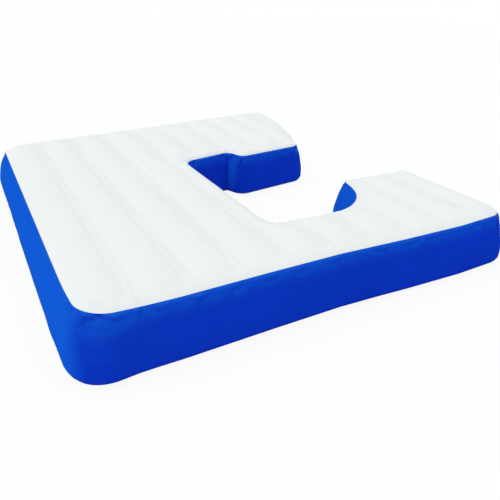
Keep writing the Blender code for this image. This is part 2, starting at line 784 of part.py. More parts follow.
FLANGE_FACE = CLEARANCE + VALVE_FLANGE_THICKNESS
RIM_FACE = FLANGE_FACE + VALVE_RIM_HEIGHT
NECK_INSIDE = VALVE_NECK_RADIUS - VALVE_NECK_WALL
INSERT_OUTSIDE = NECK_INSIDE - CLEARANCE
INSERT_INSIDE = INSERT_OUTSIDE - INSERT_WALL
SEAT_TOP = RIM_FACE - INSERT_DEPTH
SEAT_FOOT = SEAT_TOP - SEAT_THICKNESS
SEAT_OPENING = INSERT_INSIDE - SEAT_RING_WIDTH
SKIRT_RADIUS = INSERT_INSIDE - CLEARANCE
LEASH_FOOT = RIM_FACE + CLEARANCE
LEASH_TOP = LEASH_FOOT + LEASH_THICKNESS
CAP_FOOT = LEASH_TOP + CLEARANCE
CAP_FACE = CAP_FOOT + CAP_THICKNESS
CAP_RADIUS = INSERT_OUTSIDE + CAP_OVERHANG


def build_valve_base(frame):
    profile = [
        (NECK_INSIDE, RIM_FACE - VALVE_NECK_DEPTH),
        (NECK_INSIDE, RIM_FACE),
        (VALVE_RIM_RADIUS, RIM_FACE),
        (VALVE_RIM_RADIUS, FLANGE_FACE),
        (VALVE_FLANGE_RADIUS, FLANGE_FACE),
        (VALVE_FLANGE_RADIUS, CLEARANCE),
        (VALVE_NECK_RADIUS, CLEARANCE),
        (VALVE_NECK_RADIUS, RIM_FACE - VALVE_NECK_DEPTH),
    ]
    base = place(add_object("valve_base", turned_profile(profile), "valve_grey"), frame)
    neck_foot = LEASH_FOOT - CLEARANCE
    neck_top = LEASH_TOP + CLEARANCE
    post_profile = [
        (0, FLANGE_FACE - VALVE_FLANGE_THICKNESS / 2),
        (POST_FOOT_RADIUS, FLANGE_FACE - VALVE_FLANGE_THICKNESS / 2),
        (POST_FOOT_RADIUS, neck_foot),
        (POST_NECK_RADIUS, neck_foot),
        (POST_NECK_RADIUS, neck_top),
        (POST_FOOT_RADIUS, neck_top),
        (POST_FOOT_RADIUS, neck_top + POST_HEAD_HEIGHT),
        (0, neck_top + POST_HEAD_HEIGHT),
    ]
    post_mesh = turned_profile(post_profile, ROUND_FACETS // 2)
    post = place(add_object("leash_post", post_mesh, "valve_grey"), frame, (0, 0, LEASH_REACH))
    combine(base, post, "UNION")


def build_valve_insert(frame):
    """A cup with an open seat at its foot, its hub held by spokes."""
    cup = [
        (INSERT_OUTSIDE, SEAT_FOOT),
        (SEAT_OPENING, SEAT_FOOT),
        (SEAT_OPENING, SEAT_TOP),
        (INSERT_INSIDE, SEAT_TOP),
        (INSERT_INSIDE, RIM_FACE),
        (INSERT_OUTSIDE, RIM_FACE),
    ]
    insert = place(add_object("valve_insert", turned_profile(cup), "valve_grey"), frame)
    overlap = SEAT_RING_WIDTH / 2
    reach = SEAT_OPENING + overlap
    inside = SEAT_THICKNESS * JOIN_INSET_SHARE
    for k in range(SPOKES // 2):
        low = (-reach, SEAT_FOOT + inside, -SPOKE_WIDTH / 2)
        high = (reach, SEAT_TOP - inside, SPOKE_WIDTH / 2)
        spoke_mesh = box_mesh(low, high)
        turn = Matrix.Rotation(2 * math.pi * k / SPOKES, 3, "Y")
        bmesh.ops.rotate(spoke_mesh, verts=spoke_mesh.verts, matrix=turn)
        spoke = place(add_object(f"seat_spoke_{k + 1}", spoke_mesh, "valve_grey"), frame)
        combine(insert, spoke, "UNION")
    hub_profile = [(0, SEAT_FOOT), (HUB_RADIUS, SEAT_FOOT), (HUB_RADIUS, SEAT_TOP), (0, SEAT_TOP)]
    hub_mesh = turned_profile(hub_profile, ROUND_FACETS // 2)
    hub = place(add_object("seat_hub", hub_mesh, "valve_grey"), frame)
    combine(insert, hub, "UNION")
    bore = STEM_RADIUS + STEM_PLAY
    bore_foot, bore_top = SEAT_FOOT - CUTTER_OVERRUN, SEAT_TOP + CUTTER_OVERRUN
    bore_profile = [(0, bore_foot), (bore, bore_foot), (bore, bore_top), (0, bore_top)]
    bore_mesh = turned_profile(bore_profile, ROUND_FACETS // 2)
    cutter = place(add_object("hub_bore", bore_mesh, "valve_grey"), frame)
    combine(insert, cutter, "DIFFERENCE")


def build_valve_flap(frame):
    """A rubber mushroom: its disc shuts the seat from inside, and a bead keeps the stem in the hub."""
    flap_face = SEAT_FOOT - CLEARANCE
    flap_radius = SEAT_OPENING + FLAP_LAP
    bead_foot = SEAT_TOP + FLAP_TRAVEL + CLEARANCE
    profile = [
        (0, flap_face - FLAP_THICKNESS),
        (flap_radius, flap_face - FLAP_THICKNESS / 2),
        (flap_radius, flap_face),
        (STEM_RADIUS, flap_face),
        (STEM_RADIUS, bead_foot),
        (FLAP_BEAD_RADIUS, bead_foot),
        (STEM_RADIUS, bead_foot + FLAP_BEAD_HEIGHT),
        (0, bead_foot + FLAP_BEAD_HEIGHT),
    ]
    place(add_object("valve_flap", turned_profile(profile, ROUND_FACETS // 2), "valve_rubber"), frame)


def build_valve_cap(frame):
    skirt_foot = CAP_FOOT - CAP_SKIRT_DEPTH
    hollow = SKIRT_RADIUS - CAP_SKIRT_WALL
    hollow_top = CAP_FOOT + CAP_THICKNESS * CAP_HOLLOW_SHARE
    profile = [
        (0, hollow_top),
        (hollow, hollow_top),
        (hollow, skirt_foot),
        (SKIRT_RADIUS, skirt_foot),
        (SKIRT_RADIUS, CAP_FOOT),
        (CAP_RADIUS, CAP_FOOT),
        (CAP_RADIUS, CAP_FACE - CAP_EDGE_ROUND),
        (CAP_RADIUS - CAP_EDGE_ROUND, CAP_FACE),
        (0, CAP_FACE),
    ]
    cap = place(add_object("valve_cap", turned_profile(profile), "valve_grey"), frame)
    half = CAP_RADIUS * GRIP_LENGTH_SHARE
    low = (-half, CAP_FACE - CAP_THICKNESS * GRIP_FOOT_SHARE, -GRIP_WIDTH / 2)
    high = (half, CAP_FACE + GRIP_HEIGHT, GRIP_WIDTH / 2)
    grip_mesh = box_mesh(low, high)
    ends = [edge for edge in grip_mesh.edges if all(v.co.y > CAP_FACE for v in edge.verts)]
    bmesh.ops.bevel(
        grip_mesh,
        geom=ends,
        offset=GRIP_WIDTH * GRIP_ROUND_SHARE,
        segments=2,
        affect="EDGES",
        profile=0.5,
    )
    grip = place(add_object("cap_grip", grip_mesh, "valve_grey"), frame)
    combine(cap, grip, "UNION")


def build_valve_leash(frame):
    """A collar the cap turns in, and a strap to its eye on the base's post."""
    inside = SKIRT_RADIUS + CLEARANCE
    collar = [
        (inside, LEASH_FOOT),
        (inside, LEASH_TOP),
        (inside + LEASH_BAND, LEASH_TOP),
        (inside + LEASH_BAND, LEASH_FOOT),
    ]
    leash = place(add_object("valve_leash", turned_profile(collar), "valve_grey"), frame)
    sunk = LEASH_THICKNESS * JOIN_INSET_SHARE
    low = (-LEASH_WIDTH / 2, LEASH_FOOT + sunk, inside + LEASH_BAND / 2)
    high = (LEASH_WIDTH / 2, LEASH_TOP - sunk, LEASH_REACH)
    strap = place(add_object("leash_strap", box_mesh(low, high), "valve_grey"), frame)
    combine(leash, strap, "UNION")
    eye_profile = [
        (0, LEASH_FOOT), (LEASH_EYE_RADIUS, LEASH_FOOT), (LEASH_EYE_RADIUS, LEASH_TOP), (0, LEASH_TOP),
    ]
    eye_mesh = turned_profile(eye_profile, ROUND_FACETS // 2)
    eye = place(add_object("leash_eye", eye_mesh, "valve_grey"), frame, (0, 0, LEASH_REACH))
    combine(leash, eye, "UNION")
    hole = POST_NECK_RADIUS + CLEARANCE
    hole_foot, hole_top = LEASH_FOOT - CUTTER_OVERRUN, LEASH_TOP + CUTTER_OVERRUN
    hole_profile = [(0, hole_foot), (hole, hole_foot), (hole, hole_top), (0, hole_top)]
    hole_mesh = turned_profile(hole_profile, ROUND_FACETS // 2)
    cutter = place(add_object("leash_hole", hole_mesh, "valve_grey"), frame, (0, 0, LEASH_REACH))
    combine(leash, cutter, "DIFFERENCE")


def build_valve(wall):
    near_end = wall_length("front_right", "near_tip")
    frame = wall_place("front_right", "near_tip", near_end * VALVE_POSITION_SHARE)
    build_valve_base(frame)
    build_valve_insert(frame)
    build_valve_flap(frame)
    build_valve_cap(frame)
    build_valve_leash(frame)
    hole = VALVE_NECK_RADIUS + CLEARANCE
    hole_profile = [
        (0, -CUTTER_OVERRUN), (hole, -CUTTER_OVERRUN), (hole, CUTTER_OVERRUN), (0, CUTTER_OVERRUN),
    ]
    hole_cutter = place(add_object("valve_hole", turned_profile(hole_profile), "blue_pvc"), frame)
    combine(wall, hole_cutter, "DIFFERENCE")


def centre_on_origin():
    """Moves the pad so that the middle of its box stands on the origin."""
    bpy.context.view_layer.update()
    graph = bpy.context.evaluated_depsgraph_get()
    low, high = [math.inf] * 2, [-math.inf] * 2
    for made in bpy.data.objects:
        if made.type != "MESH" or made.hide_render:
            continue
        evaluated = made.evaluated_get(graph)
        for corner in evaluated.to_mesh().vertices:
            place_now = evaluated.matrix_world @ corner.co
            for axis in range(2):
                low[axis] = min(low[axis], place_now[axis])
                high[axis] = max(high[axis], place_now[axis])
        evaluated.to_mesh_clear()
    PAD_FRAME.location = (-(low[0] + high[0]) / 2, -(low[1] + high[1]) / 2, 0)


clear_scene()
PAD_FRAME = bpy.data.objects.new("pad_frame", None)
bpy.context.scene.collection.objects.link(PAD_FRAME)
build_top_skin()
build_bottom_skin()
build_baffles()
near_end_wall = build_walls()
build_tie_rings()
build_valve(near_end_wall)
centre_on_origin()
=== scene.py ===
import math

import bpy
import numpy as np
from mathutils import Matrix, Vector, geometry


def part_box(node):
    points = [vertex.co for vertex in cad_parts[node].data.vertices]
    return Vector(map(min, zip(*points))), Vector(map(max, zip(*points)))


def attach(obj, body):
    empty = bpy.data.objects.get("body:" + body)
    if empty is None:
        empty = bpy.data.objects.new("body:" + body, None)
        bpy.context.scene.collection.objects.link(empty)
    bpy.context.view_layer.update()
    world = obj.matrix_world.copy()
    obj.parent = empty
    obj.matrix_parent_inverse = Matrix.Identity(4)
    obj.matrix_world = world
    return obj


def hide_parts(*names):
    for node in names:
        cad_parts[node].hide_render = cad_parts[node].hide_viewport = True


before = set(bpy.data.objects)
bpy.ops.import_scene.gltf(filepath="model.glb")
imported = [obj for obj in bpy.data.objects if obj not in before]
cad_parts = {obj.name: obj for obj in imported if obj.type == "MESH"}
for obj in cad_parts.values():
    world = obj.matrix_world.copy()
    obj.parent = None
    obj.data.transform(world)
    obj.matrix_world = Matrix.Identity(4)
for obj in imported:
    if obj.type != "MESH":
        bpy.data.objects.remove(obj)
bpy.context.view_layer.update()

# Inflatable landing pad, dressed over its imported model. Metres, +Z up.
# The skins and walls are drawn on the pad's own plan, front left corner at 0, 0, and then moved.

cameraView = {
    "position": (-1.7483, -3.6236, 1.7158),
    "yaw": 0.52896,          # radians, right of +Y
    "pitch": 0.48394,        # looking down
    "roll": 0.04189,
    "focalPixels": 501.6,
    "framePixels": 500,
    "sensor": 36.0,          # mm
}


def makeCamera(view):
    data = bpy.data.cameras.new("photoCamera")
    data.sensor_width = view["sensor"]
    data.lens = view["focalPixels"] / view["framePixels"] * view["sensor"]
    camera = bpy.data.objects.new("photoCamera", data)
    turned = (
        Matrix.Rotation(-view["yaw"], 4, "Z")
        @ Matrix.Rotation(math.pi / 2 - view["pitch"], 4, "X")
        @ Matrix.Rotation(view["roll"], 4, "Z")
    )
    camera.matrix_world = Matrix.Translation(view["position"]) @ turned
    bpy.context.scene.collection.objects.link(camera)
    bpy.context.scene.camera = camera


makeCamera(cameraView)
print("camera placed")


def linear(hexColour):
    channels = [int(hexColour[k:k + 2], 16) / 255 for k in (1, 3, 5)]
    made = [c / 12.92 if c <= 0.04045 else ((c + 0.055) / 1.055) ** 2.4 for c in channels]
    return (*made, 1.0)


# settings are the node's own properties, links the outputs that feed its sockets, values the rest
def addNode(tree, kind, settings=None, links=None, values=None):
    node = tree.nodes.new(kind)
    for name, value in (settings or {}).items():
        setattr(node, name, value)
    for name, value in (values or {}).items():
        node.inputs[name].default_value = value
    for name, source in (links or {}).items():
        tree.links.new(source, node.inputs[name])
    return node


def newMaterial(name):
    material = bpy.data.materials.new(name)
    material.use_nodes = True
    return material, material.node_tree, material.node_tree.nodes["Principled BSDF"]


# sizes in the surface of all the coated fabrics
coatedFabric = {
    "scrimPitch": 0.0118435,    # real threads lie 1 mm apart, drawn coarser so that they show
    "scrimDepth": 0.00006,
    "crinkleSize": 0.045,
    "crinkleDepth": 0.0011,
    "dimpleSize": 0.16,
    "dimpleDepth": 0.0030,
    "patchesPerMetre": 2.2,     # cloudy patches in the colour
    "patchStrength": 0.35,
    "roughnessSway": (-0.05, 0.07),    # off the film's own roughness, with the crinkles
    "ior": 1.48,
}

# calendered PVC in white: satin and nearly even, a sheet with hardly any crinkle
whiteFilm = {"colour": "#eceeed", "shade": "#e5e9e8", "roughness": 0.50, "sheen": 0.25,
             "crinkle": 0.8}

# calendered PVC in deep blue: even and matt, with painted light: a paler, greener blue where it
# turns up or to the left, as the lamps light it there
blueFilm = {"colour": "#0c36bf", "shade": "#0c30b0", "roughness": 0.42, "sheen": 0.0,
            "crinkle": 1.0, "paintedLightColour": "#125bd2",
            # ways to face, and how nearly it has to face them for the painted light to come in,
            # from least to most
            "paintedLightWays": (((0, 0, 1), 0.28, 0.68), ((-1, 0.2, 0.2), 0.50, 1.0))}

# calendered PVC in grey, for the floor side: dull, with a slight shine
greyFilm = {"colour": "#8c9194", "shade": "#7d8285", "roughness": 0.55, "sheen": 0.5,
            "crinkle": 1.0}

# open scrim with a thin coat, for the baffles: pale and soft
paleScrim = {"colour": "#d5dcdf", "shade": "#c3cbce", "roughness": 0.50, "sheen": 0.5,
             "crinkle": 1.0}


# 0 to 1 as the surface turns from away from a fixed direction in the room to facing it
def facingShare(tree, direction, least, most):
    surface = addNode(tree, "ShaderNodeNewGeometry")
    dot = addNode(tree, "ShaderNodeVectorMath", {"operation": "DOT_PRODUCT"},
                  links={0: surface.outputs["Normal"]}, values={1: Vector(direction).normalized()})
    share = addNode(tree, "ShaderNodeMapRange", {"interpolation_type": "SMOOTHSTEP"},
                    links={"Value": dot.outputs["Value"]},
                    values={"From Min": least, "From Max": most})
    return share.outputs["Result"]


def coatedPvc(name, film):
    fabric = coatedFabric
    material, tree, shader = newMaterial(name)
    where = addNode(tree, "ShaderNodeTexCoord").outputs["Object"]
    patches = addNode(tree, "ShaderNodeTexNoise", links={"Vector": where},
                      values={"Scale": fabric["patchesPerMetre"], "Detail": 4.0, "Roughness": 0.6})
    patchShare = addNode(tree, "ShaderNodeMapRange", links={"Value": patches.outputs["Fac"]},
                         values={"From Min": 0.35, "From Max": 0.70,
                                 "To Min": 0.0, "To Max": fabric["patchStrength"]})
    # a mix node's colours are its sockets 6 and 7, and its mixed colour is output 2
    base = addNode(tree, "ShaderNodeMix", {"data_type": "RGBA"},
                   links={"Factor": patchShare.outputs["Result"]},
                   values={6: linear(film["colour"]), 7: linear(film["shade"])})
    # painted light: a paler, greener colour mixed in where the film faces up or to the left,
    # toward the lamps
    if "paintedLightColour" in film:
        upward, leftward = (facingShare(tree, *way) for way in film["paintedLightWays"])
        lit = addNode(tree, "ShaderNodeMath", {"operation": "MAXIMUM"},
                      links={0: upward, 1: leftward})
        base = addNode(tree, "ShaderNodeMix", {"data_type": "RGBA"},
                       links={"Factor": lit.outputs[0], 6: base.outputs[2]},
                       values={7: linear(film["paintedLightColour"])})
    tree.links.new(base.outputs[2], shader.inputs["Base Color"])

    # diagonal waves repeat every 2 pi / 10 along each axis at a scale of 1
    scrim = addNode(tree, "ShaderNodeTexWave", {"bands_direction": "DIAGONAL"},
                    links={"Vector": where},
                    values={"Scale": 2 * math.pi / 10 / fabric["scrimPitch"]})
    crinkles = addNode(tree, "ShaderNodeTexNoise", links={"Vector": where},
                       values={"Scale": 1 / fabric["crinkleSize"], "Detail": 3.0,
                               "Roughness": 0.45, "Distortion": 0.6})
    dimples = addNode(tree, "ShaderNodeTexNoise", links={"Vector": where},
                      values={"Scale": 1 / fabric["dimpleSize"], "Detail": 2.0})
    wide = addNode(tree, "ShaderNodeBump", links={"Height": dimples.outputs["Fac"]},
                   values={"Strength": 1.0, "Distance": fabric["dimpleDepth"] * film["crinkle"]})
    finer = addNode(tree, "ShaderNodeBump",
                    links={"Height": crinkles.outputs["Fac"], "Normal": wide.outputs["Normal"]},
                    values={"Strength": 1.0, "Distance": fabric["crinkleDepth"] * film["crinkle"]})
    woven = addNode(tree, "ShaderNodeBump",
                    links={"Height": scrim.outputs["Fac"], "Normal": finer.outputs["Normal"]},
                    values={"Strength": 1.0, "Distance": fabric["scrimDepth"]})
    tree.links.new(woven.outputs["Normal"], shader.inputs["Normal"])
    smoother, rougher = (film["roughness"] + sway for sway in fabric["roughnessSway"])
    wear = addNode(tree, "ShaderNodeMapRange", links={"Value": crinkles.outputs["Fac"]},
                   values={"From Min": 0.3, "From Max": 0.7,
                           "To Min": smoother, "To Max": rougher})
    tree.links.new(wear.outputs["Result"], shader.inputs["Roughness"])
    shader.inputs["Specular IOR Level"].default_value = film["sheen"]
    shader.inputs["IOR"].default_value = fabric["ior"]
    return material


whitePvc = coatedPvc("calenderedPvcWhite", whiteFilm)
bluePvc = coatedPvc("calenderedPvcBlue", blueFilm)
greyPvc = coatedPvc("calenderedPvcGrey", greyFilm)
baffleScrim = coatedPvc("openScrimBaffle", paleScrim)
print("coated fabrics made")


# the pad's plan and edge section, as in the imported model

plan = {
    "frontLength": 2.970,
    "bodyWidth": 1.325,
    "nearArmDepth": 0.965,
    "pocketSideEnd": 1.940,
    "leftSideDepth": 2.910,
    "stepDrop": 0.165,
    "farEndBow": 0.090,
    "farEnd": 2.880,
    "hookLean": math.radians(12),
    "stepLean": math.radians(20),
    "pocketFarSlope": math.radians(13),
    "farEdgeSlope": math.radians(9),
    "backSlope": math.radians(8.76),
    "nearTipShare": 0.404,       # shares of the arms' length
    "pocketFarShare": 0.289,
    "farEdgeShare": 0.401,
    "frontRunShare": 0.5285,     # share of the near arm's depth
    "pocketCurveShare": 1.10,    # radius of the pocket's curve, as a share of its drop
    "chamberPitch": 0.300,
    "chambers": 10,
}

cornerRadius = {
    "frontLeft": 0.160,
    "frontRight": 0.130,
    "nearInner": 0.075,
    "hook": 0.055,
    "pocket": 0.120,
    "step": 0.070,
    "farInner": 0.085,
    "farEnd": 3.000,
    "farOuter": 0.110,
    "backLeft": 0.200,
}

edge = {
    "stripHeight": 0.378,
    "shoulderRadius": 0.075,
    "footRadius": 0.060,
    "seamAngle": math.radians(45),
    "wallFlare": math.radians(12),
    "wallLean": math.radians(14),
    "flatBandLean": math.radians(6),
}

meshing = {
    "edgeSpacing": 0.014,        # along the walls
    "cornerSteps": 10,           # least steps round a corner
    "sectionSteps": 600,
    "wallRows": 26,
    "shoulderRows": 6,
    "footRows": 4,
    "topLines": (-0.039, -0.030, -0.021, 0.0, 0.021, 0.030, 0.039),    # beside each weld
    "topAcross": 0.015,
    "topAlong": 0.020,
    "topClear": 0.011,           # no point of the fill is nearer than this to its rim
    "bottomLines": (-0.065, -0.030, 0.030, 0.065),
    "bottomAcross": 0.060,
    "bottomAlong": 0.040,
    "bottomClear": 0.012,
    "mergeWithin": 1e-7,
}


# each corner with its radius and the wall that starts there, None where the same wall goes on
def planCorners(p, radius):
    arm = p["frontLength"] - p["bodyWidth"]
    frontRun = p["nearArmDepth"] * p["frontRunShare"]
    drop = p["nearArmDepth"] - frontRun
    farRun, edgeRun = arm * p["pocketFarShare"], arm * p["farEdgeShare"]
    hook = Vector((p["frontLength"] - arm * p["nearTipShare"], p["nearArmDepth"]))
    curve = Vector((hook.x - drop * math.tan(p["hookLean"]), frontRun))
    pocketEnd = Vector((p["bodyWidth"], p["pocketSideEnd"]))
    stepTop = pocketEnd + Vector((farRun, farRun * math.tan(p["pocketFarSlope"])))
    stepFoot = stepTop + Vector((p["stepDrop"] * math.tan(p["stepLean"]), -p["stepDrop"]))
    innerTip = stepFoot + Vector((edgeRun, edgeRun * math.tan(p["farEdgeSlope"])))
    outerTip = Vector((p["farEnd"], p["leftSideDepth"] + p["farEnd"] * math.tan(p["backSlope"])))
    chord = outerTip - innerTip
    bow = Vector((chord.y, -chord.x)).normalized() * p["farEndBow"]
    return [
        (Vector((0, 0)), radius["frontLeft"], "front_wall"),
        (Vector((p["frontLength"], 0)), radius["frontRight"], "near_end_wall"),
        (Vector((p["frontLength"], p["nearArmDepth"])), radius["nearInner"], "near_inner_wall"),
        (hook, radius["hook"], "pocket_curve_wall"),
        (curve, drop * p["pocketCurveShare"], None),
        (Vector((p["bodyWidth"], frontRun)), radius["pocket"], "pocket_side_wall"),
        (pocketEnd, radius["pocket"], "pocket_far_wall"),
        (stepTop, radius["step"], None),
        (stepFoot, radius["step"], "far_inner_wall"),
        (innerTip, radius["farInner"], "far_end_wall"),
        (innerTip + chord / 2 + bow, radius["farEnd"], None),
        (outerTip, radius["farOuter"], "back_wall"),
        (Vector((0, p["leftSideDepth"])), radius["backLeft"], "left_wall"),
    ]


# points on the seam anticlockwise, their outward normals and the wall each one belongs to
def walkOutline(spacing):
    corners = planCorners(plan, cornerRadius)
    turns = []
    for i, (corner, radius, wall) in enumerate(corners):
        before = (corner - corners[i - 1][0]).normalized()
        after = (corners[(i + 1) % len(corners)][0] - corner).normalized()
        turn = math.atan2(before.cross(after), before.dot(after))
        turns.append((corner, radius, wall, before, after, turn,
                      radius * math.tan(abs(turn) / 2)))
    points, normals, walls = [], [], []
    wall = "left_wall"
    for i, (corner, radius, starts, before, after, turn, reach) in enumerate(turns):
        side = math.copysign(1, turn)
        start = corner - before * reach
        centre = start + Vector((-before.y, before.x)) * side * radius
        count = max(meshing["cornerSteps"], math.ceil(radius * abs(turn) / spacing))
        count += count % 2
        for k in range(count + 1):
            spoke = Matrix.Rotation(turn * k / count, 2) @ (start - centre)
            if k == count // 2 and starts:
                wall = starts
            points.append(centre + spoke)
            normals.append(spoke.normalized() * side)
            walls.append(wall)
        follower = turns[(i + 1) % len(turns)]
        begin, end = corner + after * reach, follower[0] - after * follower[-1]
        runs = max(1, round((end - begin).length / spacing))
        for k in range(1, runs):
            points.append(begin.lerp(end, k / runs))
            normals.append(Vector((after.y, -after.x)))
            walls.append(wall)
    return np.array(points), np.array(normals), walls


# the section's arcs: shoulder, wall and foot, measured outward from the seam line
shoulderIn = -edge["shoulderRadius"] * math.cos(edge["seamAngle"])
shoulderUp = edge["stripHeight"] - edge["shoulderRadius"]
headLean = edge["wallFlare"] + edge["wallLean"]
footLean = edge["wallFlare"] - edge["wallLean"]


def facing(angle):
    return np.array([math.cos(angle), math.sin(angle)])


wallHead = np.array([shoulderIn, shoulderUp]) + facing(headLean) * edge["shoulderRadius"]
wallFootUp = edge["footRadius"] * (1 + math.sin(footLean))
wallRadius = (wallHead[1] - wallFootUp) / (math.sin(headLean) - math.sin(footLean))
wallCentre = wallHead - facing(headLean) * wallRadius
footIn = wallCentre[0] + (wallRadius - edge["footRadius"]) * math.cos(footLean)
outermost = wallCentre[0] + wallRadius * math.cos(footLean)


# outward and up on the section, where it faces this far above the horizontal
def sectionFromAngle(angle):
    if angle >= headLean:
        return np.array([shoulderIn, shoulderUp]) + facing(angle) * edge["shoulderRadius"]
    if angle <= footLean:
        return np.array([footIn, edge["footRadius"]]) + facing(angle) * edge["footRadius"]
    reach = wallRadius
    turned = abs(angle - edge["wallFlare"])
    if turned < edge["flatBandLean"]:
        # flat here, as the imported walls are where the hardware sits
        reach *= math.cos(edge["flatBandLean"]) / math.cos(turned)
    return wallCentre + facing(angle) * reach


# evenly spaced points of the section between two angles, and how far along it each one lies
def evenSection(first, last, rows):
    count = meshing["sectionSteps"]
    line = np.array([sectionFromAngle(first + (last - first) * k / count)
                     for k in range(count + 1)])
    lengths = np.concatenate([[0], np.cumsum(np.hypot(*np.diff(line, axis=0).T))])
    marks = np.linspace(0, lengths[-1], rows + 1)
    return np.stack([np.interp(marks, lengths, line[:, k]) for k in (0, 1)], axis=1), marks


seamPoints, seamNormals, seamWalls = walkOutline(meshing["edgeSpacing"])
seamSteps = np.hypot(*(np.roll(seamPoints, -1, axis=0) - seamPoints).T)
seamRun = np.concatenate([[0], np.cumsum(seamSteps)[:-1]])
seamTotal = seamSteps.sum()
leftBox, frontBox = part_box("left_wall"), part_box("front_wall")
shift = np.array([leftBox[0][0] + outermost, frontBox[0][1] + outermost])
strips = np.array([plan["frontLength"] / 2 + (k - plan["chambers"] / 2) * plan["chamberPitch"]
                   for k in range(1, plan["chambers"])])
print("outline walked:", len(seamPoints), "points, shift", shift)


def smooth(share):
    share = np.clip(share, 0, 1)
    return share * share * (3 - 2 * share)


def ramp(value, start, length):
    return smooth((value - start) / length)


def bell(value, width):
    return np.exp(-(value / width) ** 2)


def eased(share):
    share = np.clip(share, 0, 1)
    return 1 - (1 - share) ** 2


# how the blown-up walls stray from the drawn plan, metres outward
bows = {
    "front": ((0, 0.5, 1.0, 1.5, 2.0, 2.5, 2.97),      # from the left, and how far at each place
              (.006, .010, -.002, -.008, .013, .022, -.003)),
    "frontReach": 0.45,            # how far in from the front the bow dies out
    "frontFoot": ((0, 0.25, 0.9, 1.8, 2.5, 2.97), (.021, .005, .004, 0, .011, .022)),
    "footReach": (-0.05, 0.20),    # where it starts to die out, and over what length
    "footHeight": 0.30,
    "leftBelly": ((0, 0.35, 0.9, 1.5, 2.1, 2.6), (-.018, .022, .022, .021, .014, .015)),
    "leftReach": 0.20,
    "bellyHeight": 0.36,
    "nearArm": 0.020,
    "nearArmReach": 0.15,
    "nearArmAlong": (1.9, 0.3),    # where it starts, and over what length it comes in
    "farEnd": 0.020,
    "farEndAlong": (2.6, 0.25),
    "farEndAcross": (2.1, 0.3),
    "farEndHeight": (0.15, 0.2),
    "cornerSeam": -0.022,          # the front left corner, in at the seam and out at the foot
    "cornerSeamHeight": (0.2, 0.15),
    "cornerFoot": 0.019,
    "cornerReach": 0.22,
}


# points of the plan with their heights, moved to where the blown-up pad has them
def settle(points):
    x, y, z = np.array(points, float).T
    low = smooth(1 - z / bows["footHeight"])
    belly = np.sin(math.pi * np.clip(z / bows["bellyHeight"], 0, 1))
    footStart, footReach = bows["footReach"]
    out = np.interp(x, *bows["front"]) * bell(np.clip(y, 0, None), bows["frontReach"])
    out += (np.interp(x, *bows["frontFoot"]) * low
            * bell(np.clip(y - footStart, 0, None), footReach))
    left = np.interp(y, *bows["leftBelly"]) * belly * bell(np.clip(x, 0, None), bows["leftReach"])
    arm = (bows["nearArm"] * bell(y - plan["nearArmDepth"], bows["nearArmReach"])
           * ramp(x, *bows["nearArmAlong"]))
    end = (bows["farEnd"] * ramp(x, *bows["farEndAlong"]) * ramp(y, *bows["farEndAcross"])
           * ramp(z, *bows["farEndHeight"]))
    corner = bows["cornerSeam"] * ramp(z, *bows["cornerSeamHeight"]) + bows["cornerFoot"] * low
    corner *= np.exp(-(x ** 2 + y ** 2) / bows["cornerReach"] ** 2) * math.sqrt(0.5)
    return np.stack([x - left - corner + end + shift[0],
                     y - out - corner + arm + shift[1], z], axis=1)


folds = {
    "seed": 11,
    "wallPucker": 0.0046,          # under the seam
    "wallPuckerAt": 0.022,
    "wallPuckerWidth": 0.030,
    "footPucker": 0.0016,
    "footPuckerAt": 0.030,
    "footPuckerRoll": 137,         # points by which the foot's folds lie further along
    "edgeRise": 0.012,             # from the edge of a wall to where its folds have come in
    "swell": 0.0022,               # slow swells over the whole wall
    "creaseDrop": 0.034,           # how far under the seam the stiff lap ends
    "creaseSway": 0.35,
    "creaseWidth": 0.010,
    "creaseDepth": 0.0022,
    "creaseShares": (0.55, 0.45),  # even part, and the part that follows the gathering
    "calmReach": 0.10,             # no folds this near to the valve or a ring's patch
    "calmFade": 0.08,
    "gatherEven": 0.25,
    "gatherGated": 0.75,
    "gatherCorners": 1.6,
    "gatherStrips": 0.8,
    "gatherStripReach": 0.045,
    "bendReach": 4,                # points to each side over which a corner's bend is measured
    "fullBend": 6.0,               # radians per metre
    "topPucker": 0.0024,
    "topPuckerRise": 0.020,
    "topPuckerReach": 0.045,
    "stripEndPucker": 0.0020,
    "stripEndReach": (0.035, 0.050),    # along the weld and across it
    "stripEndShares": (0.7, 0.3),       # even part, and the part that leans to one side
    "rimEvenings": 12,
    # wavelength and share of each wave along the seam
    "puckerWaves": ((0.055, 0.6), (0.028, 0.45), (0.17, 0.5)),
    "gateWaves": ((0.45, 0.8), (0.21, 0.6)),
    "creaseWaves": ((0.23, 0.6), (0.09, 0.5), (0.04, 0.3)),
    "swellWaves": ((0.62, 0.7), (0.31, 0.4)),
}


# an uneven wave that closes on itself round the seam, about -1 to 1
def alongNoise(waves, seed):
    source = np.random.default_rng(seed)
    total = np.zeros_like(seamRun)
    for wave, share in waves:
        cycles = max(1, round(seamTotal / wave))
        for _ in range(3):
            phase = source.uniform(0, 2 * math.pi)
            k = cycles + source.integers(-cycles // 6 - 1, cycles // 6 + 2)
            total += share * np.sin(2 * math.pi * k * seamRun / seamTotal + phase) / 2
    return total


def fromStrip(x):
    return np.min(np.abs(x[:, None] - strips[None]), axis=1)


puckerWave = alongNoise(folds["puckerWaves"], folds["seed"])
puckerGate = np.clip(alongNoise(folds["gateWaves"], folds["seed"] + 1), 0, 1)
creaseWave = alongNoise(folds["creaseWaves"], folds["seed"] + 2)
swellWave = alongNoise(folds["swellWaves"], folds["seed"] + 5)


# 0 on the straight to 1 where the seam bends most
def seamBend():
    reach, count = folds["bendReach"], len(seamPoints)
    bend = np.zeros(count)
    for i in range(count):
        a, b = seamNormals[i - reach], seamNormals[(i + reach) % count]
        turned = math.acos(max(-1, min(1, float(a @ b))))
        bend[i] = turned / (2 * reach * meshing["edgeSpacing"])
    return np.clip(bend / folds["fullBend"], 0, 1)


